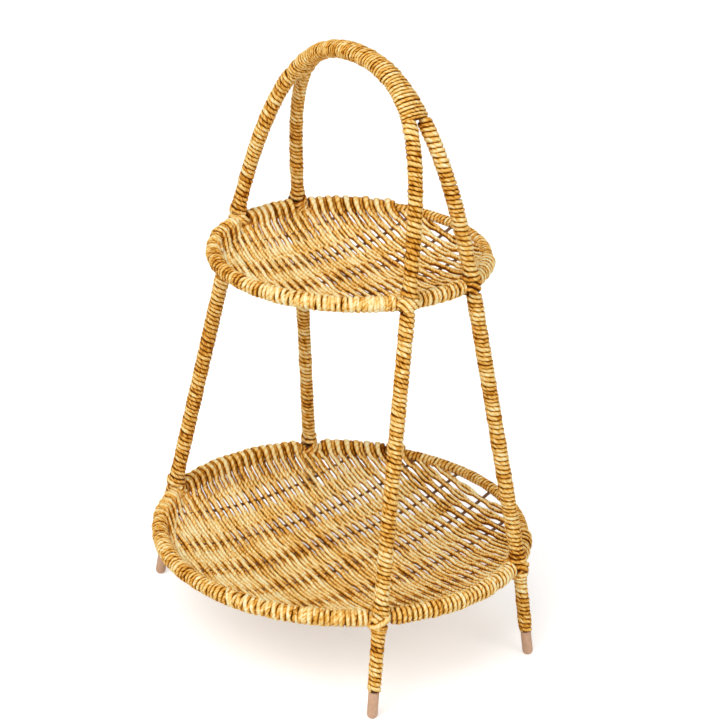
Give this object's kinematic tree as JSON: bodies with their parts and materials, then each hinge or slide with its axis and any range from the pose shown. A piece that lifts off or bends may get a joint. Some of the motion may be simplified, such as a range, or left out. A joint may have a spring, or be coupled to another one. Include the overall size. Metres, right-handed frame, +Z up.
{
  "type": "two-tier storage basket",
  "caption": "Two-tier open storage basket: round woven trays on a cord-wound wire frame whose legs rise into a bound arched carrying handle.",
  "frame": {"origin": "on the floor under the middle of the basket, where the four feet stand", "axes": "+Z up; +X along the two arches and the handle; +Y across the handle"},
  "size_m": [0.22, 0.22, 0.345],
  "materials": {
    "wound_cord": "satin plant-fibre cord",
    "woven_mat": "satin plant-fibre cord",
    "frame_wire": "satin",
    "foot_cap": "matte"
  },
  "bodies": {
    "root": {"arch_wire_front": "frame_wire", "arch_wire_back": "frame_wire", "lower_rim_wire": "frame_wire", "upper_rim_wire": "frame_wire", "lower_lashing_front_left": "wound_cord", "lower_lashing_back_left": "wound_cord", "lower_lashing_front_right": "wound_cord", "lower_lashing_back_right": "wound_cord", "upper_lashing_front_left": "wound_cord", "upper_lashing_back_left": "wound_cord", "upper_lashing_front_right": "wound_cord", "upper_lashing_back_right": "wound_cord", "lower_rim_winding_right": "wound_cord", "lower_rim_winding_back": "wound_cord", "lower_rim_winding_left": "wound_cord", "lower_rim_winding_front": "wound_cord", "upper_rim_winding_right": "wound_cord", "upper_rim_winding_back": "wound_cord", "upper_rim_winding_left": "wound_cord", "upper_rim_winding_front": "wound_cord", "lower_stake_1": "frame_wire", "lower_stake_2": "frame_wire", "lower_stake_3": "frame_wire", "lower_stake_4": "frame_wire", "lower_stake_5": "frame_wire", "lower_stake_6": "frame_wire", "lower_tray_mat": "woven_mat", "upper_stake_1": "frame_wire", "upper_stake_2": "frame_wire", "upper_stake_3": "frame_wire", "upper_stake_4": "frame_wire", "upper_stake_5": "frame_wire", "upper_tray_mat": "woven_mat", "low_winding_front_left": "wound_cord", "arch_winding_front_left": "wound_cord", "leg_winding_front_left": "wound_cord", "low_winding_back_left": "wound_cord", "arch_winding_back_left": "wound_cord", "leg_winding_back_left": "wound_cord", "low_winding_front_right": "wound_cord", "arch_winding_front_right": "wound_cord", "leg_winding_front_right": "wound_cord", "low_winding_back_right": "wound_cord", "arch_winding_back_right": "wound_cord", "leg_winding_back_right": "wound_cord", "handle_winding": "wound_cord", "foot_cap_front_left": "foot_cap", "foot_cap_back_left": "foot_cap", "foot_cap_front_right": "foot_cap", "foot_cap_back_right": "foot_cap"}
  },
  "joints": []
}
